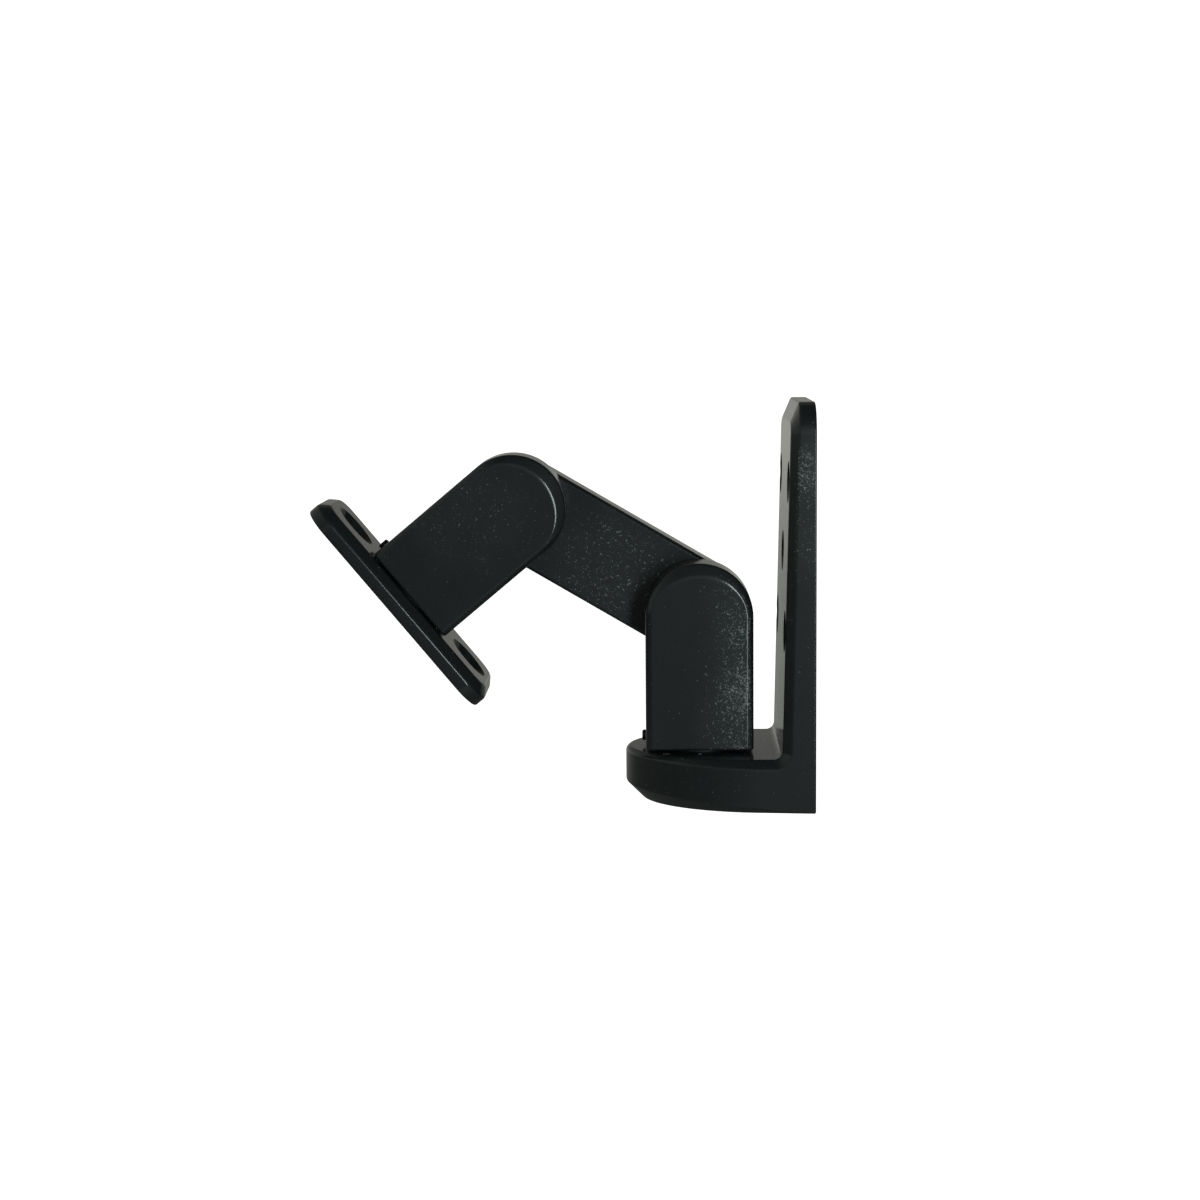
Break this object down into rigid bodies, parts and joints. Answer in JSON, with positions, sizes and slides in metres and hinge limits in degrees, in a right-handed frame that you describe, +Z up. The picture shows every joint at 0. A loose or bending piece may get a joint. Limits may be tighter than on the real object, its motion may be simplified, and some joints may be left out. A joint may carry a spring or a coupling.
{
  "type": "speaker wall bracket",
  "caption": "Black cast wall bracket for a small speaker: an L-shaped wall plate with a panning knuckle, a tilting link arm, a second knuckle and a turning speaker plate.",
  "frame": {"origin": "middle of the five wall holes, on the back face that lies on the wall", "axes": "+X points into the wall, out of the back face; -X points out into the room along the shelf; +Z is up; +Y completes the frame and runs along both tilt pivots, towards the bolt heads"},
  "size_m": [0.1398, 0.055, 0.1122],
  "materials": {
    "coat": "fine-textured black powder coat with small bright specks",
    "steel": "black oxide",
    "nylon": "matt black nylon"
  },
  "bodies": {
    "wall": {"wall_bracket": "coat", "pan_friction_washer": "nylon"},
    "lower_knuckle": {"lower_knuckle": "coat", "pan_washer": "steel", "pan_spring_washer": "steel", "pan_bolt": "steel", "lower_lock_screw": "steel", "lower_lap_washer": "nylon", "lower_pivot_washer": "steel", "lower_spring_washer": "steel", "lower_pivot_bolt": "steel"},
    "link": {"link_arm": "coat"},
    "upper_knuckle": {"upper_knuckle": "coat", "upper_lap_washer": "nylon", "upper_pivot_washer": "steel", "upper_spring_washer": "steel", "upper_pivot_bolt": "steel", "upper_lock_screw": "steel", "plate_friction_washer": "nylon", "plate_bolt": "steel"},
    "plate": {"speaker_plate": "coat"}
  },
  "joints": [
    {"name": "pan", "type": "hinge", "parent": "wall", "child": "lower_knuckle", "pos_m": [-0.03151, 0, -0.0553], "axis": [0, 0, 1], "range_deg": [-90, 90]},
    {"name": "lower_tilt", "type": "hinge", "parent": "lower_knuckle", "child": "link", "pos_m": [-0.03151, 0, -0.0174], "axis": [0, 1, 0], "range_deg": [-30.4, 59.6]},
    {"name": "upper_tilt", "type": "hinge", "parent": "link", "child": "upper_knuckle", "pos_m": [-0.08326, 0, 0.01296], "axis": [0, 1, 0], "range_deg": [-14, 90.2]},
    {"name": "plate_turn", "type": "hinge", "parent": "upper_knuckle", "child": "plate", "pos_m": [-0.11238, 0, -0.0113], "axis": [-0.7683, 0, -0.6401], "continuous": true}
  ]
}
